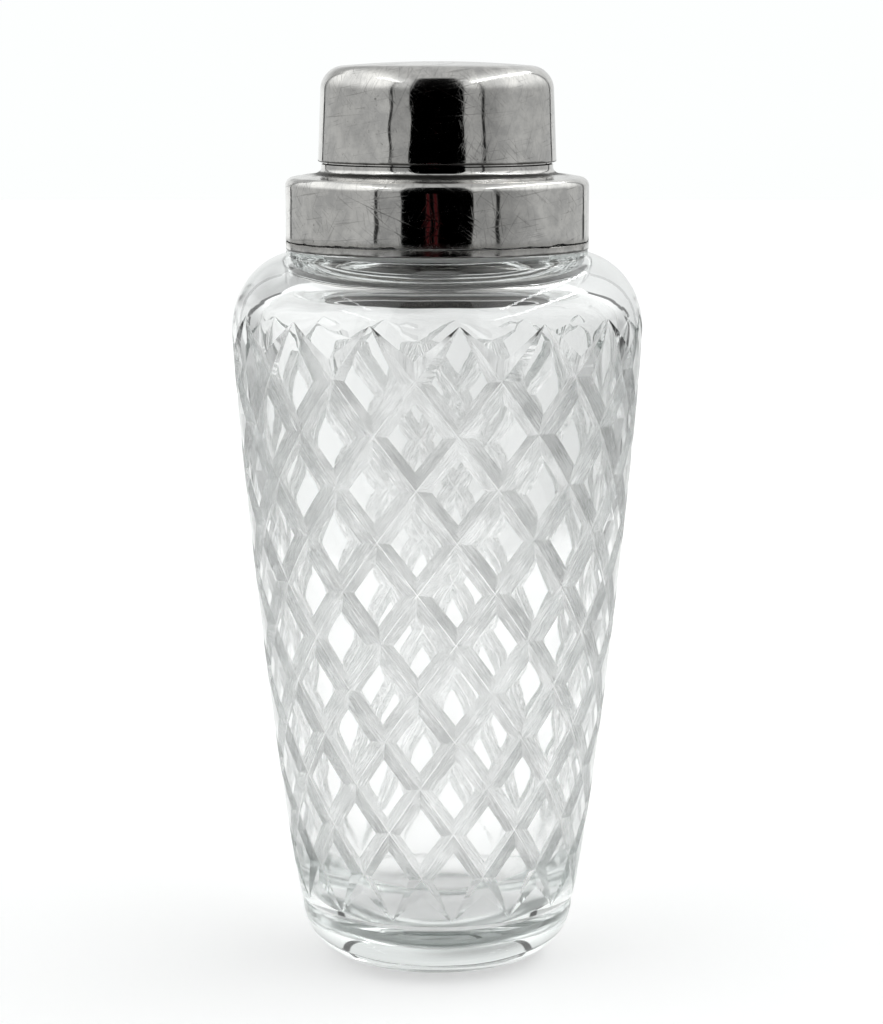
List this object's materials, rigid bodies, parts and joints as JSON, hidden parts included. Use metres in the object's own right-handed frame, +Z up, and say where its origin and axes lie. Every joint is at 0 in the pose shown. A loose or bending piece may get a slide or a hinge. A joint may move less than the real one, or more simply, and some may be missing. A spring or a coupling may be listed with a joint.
{
  "type": "cocktail shaker",
  "caption": "Diamond-cut crystal cocktail shaker with a tapered body and heavy base; its plated collar holds a strainer and spout under a lift-off domed cap.",
  "frame": {"origin": "centre of the flat underside of the glass", "axes": "+Z up along the shaker's axis, from the base to the cap; -Y is the front, +X to the right"},
  "size_m": [0.1013, 0.101, 0.225],
  "materials": {
    "crystal": "clear lead crystal, mitre-cut outside and fire-polished inside",
    "silver_plate": "polished silver plate over brass, with fine scratches and light tarnish",
    "tarnished_plate": "silver plate gone black with tarnish",
    "grey_rubber": "matt grey moulded rubber",
    "cork": "natural cork"
  },
  "bodies": {
    "glass": {"glass_body": "crystal"},
    "strainer_top": {"collar_shell": "silver_plate", "collar_base_band": "silver_plate", "plug_sleeve": "silver_plate", "neck_seal": "grey_rubber", "seal_retainer": "tarnished_plate", "strainer_plate": "silver_plate", "spout_rim_wire": "silver_plate"},
    "cap": {"cap_shell": "silver_plate", "cap_cork": "cork"}
  },
  "joints": [
    {"name": "collar_lift", "type": "slide", "parent": "glass", "child": "strainer_top", "axis": [0, 0, 1], "range_m": [0, 0.06]},
    {"name": "cap_lift", "type": "slide", "parent": "strainer_top", "child": "cap", "axis": [0, 0, 1], "range_m": [0, 0.04]}
  ]
}
